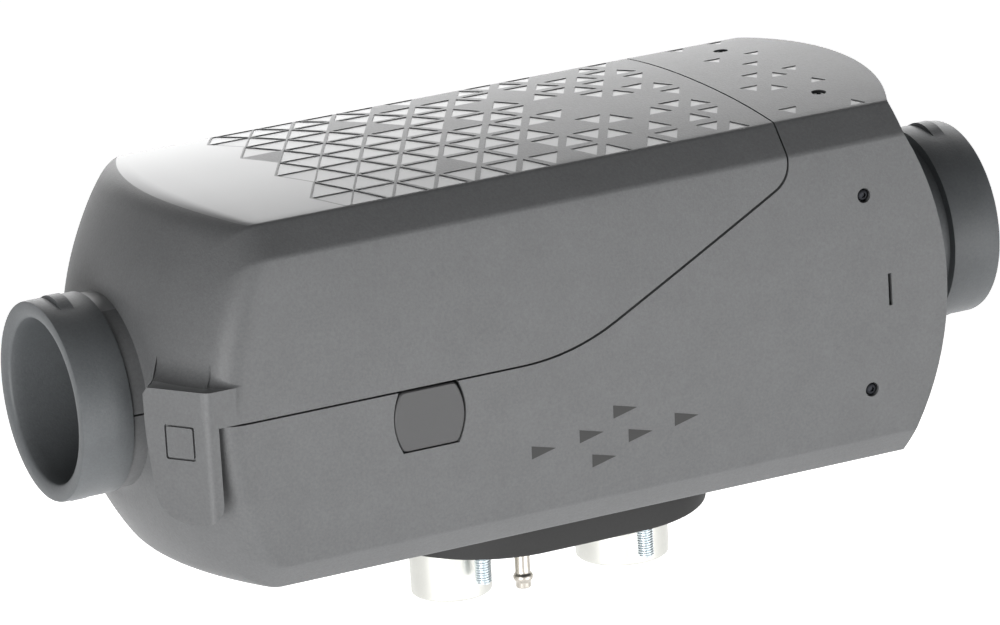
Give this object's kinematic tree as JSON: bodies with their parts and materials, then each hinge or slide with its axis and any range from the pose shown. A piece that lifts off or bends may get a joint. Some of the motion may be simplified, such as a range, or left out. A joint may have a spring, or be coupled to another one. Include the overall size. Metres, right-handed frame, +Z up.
{
  "type": "diesel air heater",
  "caption": "Compact fuel-fired cabin air heater: octagonal two-shell casing, domed ends with duct collars, blower, burner and finned exchanger on a sealed base flange.",
  "frame": {"origin": "the flange centre, between the two pipe sockets, on the underside of the flange seal and so on the floor that the heater stands on", "axes": "+X along the duct in the direction of the air, -Y towards the side with the arrows, +Z up"},
  "size_m": [0.309, 0.1164, 0.1448],
  "materials": {
    "casing": "finely textured grey injection moulding",
    "collar": "finely textured grey injection moulding",
    "plug": "smooth grey moulding",
    "rubber": "matt black rubber",
    "cast_aluminium": "satin die-cast aluminium",
    "steel": "stainless steel",
    "zinc": "zinc-plated steel",
    "black_plastic": "black glass-filled moulding",
    "fan_plastic": "dark grey moulding",
    "gasket": "graphite sheet",
    "magnet": "sintered ferrite",
    "winding": "enamelled copper on laminations"
  },
  "bodies": {
    "base": {"lower_shell": "casing", "cable_grommet": "rubber", "casing_screw_1": "zinc", "casing_screw_2": "zinc", "casing_screw_3": "zinc", "casing_screw_4": "zinc", "casing_screw_5": "zinc", "casing_screw_6": "zinc", "flange_seal": "rubber", "combustion_air_socket": "cast_aluminium", "exhaust_socket": "cast_aluminium", "fuel_pipe": "steel", "mounting_stud_1": "zinc", "mounting_stud_2": "zinc", "mounting_stud_3": "zinc", "mounting_stud_4": "zinc", "heat_exchanger": "cast_aluminium", "exchanger_support": "black_plastic", "combustion_chamber": "steel", "flame_tube": "steel", "exchanger_gasket": "gasket", "glow_plug": "steel", "glow_plug_grommet": "rubber", "overheat_sensor": "steel", "sensor_clip": "steel", "blower_cover": "cast_aluminium", "blower_housing": "cast_aluminium", "bearing_rear": "steel", "bearing_front": "steel", "motor_can": "steel", "motor_end_plate": "black_plastic", "motor_magnets": "magnet", "control_unit": "black_plastic"},
    "cover": {"upper_shell": "casing"},
    "intake_collar": {"inlet_connector": "collar"},
    "hood": {"outlet_hood": "collar"},
    "plug": {"blanking_plug": "plug"},
    "rotor": {"motor_shaft": "steel", "armature": "winding", "hot_air_fan": "fan_plastic", "combustion_impeller": "fan_plastic"}
  },
  "joints": [
    {"name": "cover_lift", "type": "slide", "parent": "base", "child": "cover", "axis": [0, 0, 1], "range_m": [0, 0.09]},
    {"name": "intake_collar_pull", "type": "slide", "parent": "base", "child": "intake_collar", "axis": [-1, 0, 0], "range_m": [0, 0.02]},
    {"name": "hood_pull", "type": "slide", "parent": "base", "child": "hood", "axis": [1, 0, 0], "range_m": [0, 0.032]},
    {"name": "plug_pull", "type": "slide", "parent": "base", "child": "plug", "axis": [0, -1, 0], "range_m": [0, 0.014]},
    {"name": "rotor_spin", "type": "hinge", "parent": "base", "child": "rotor", "pos_m": [-0.1, 0, 0.0664], "axis": [1, 0, 0], "continuous": true}
  ]
}
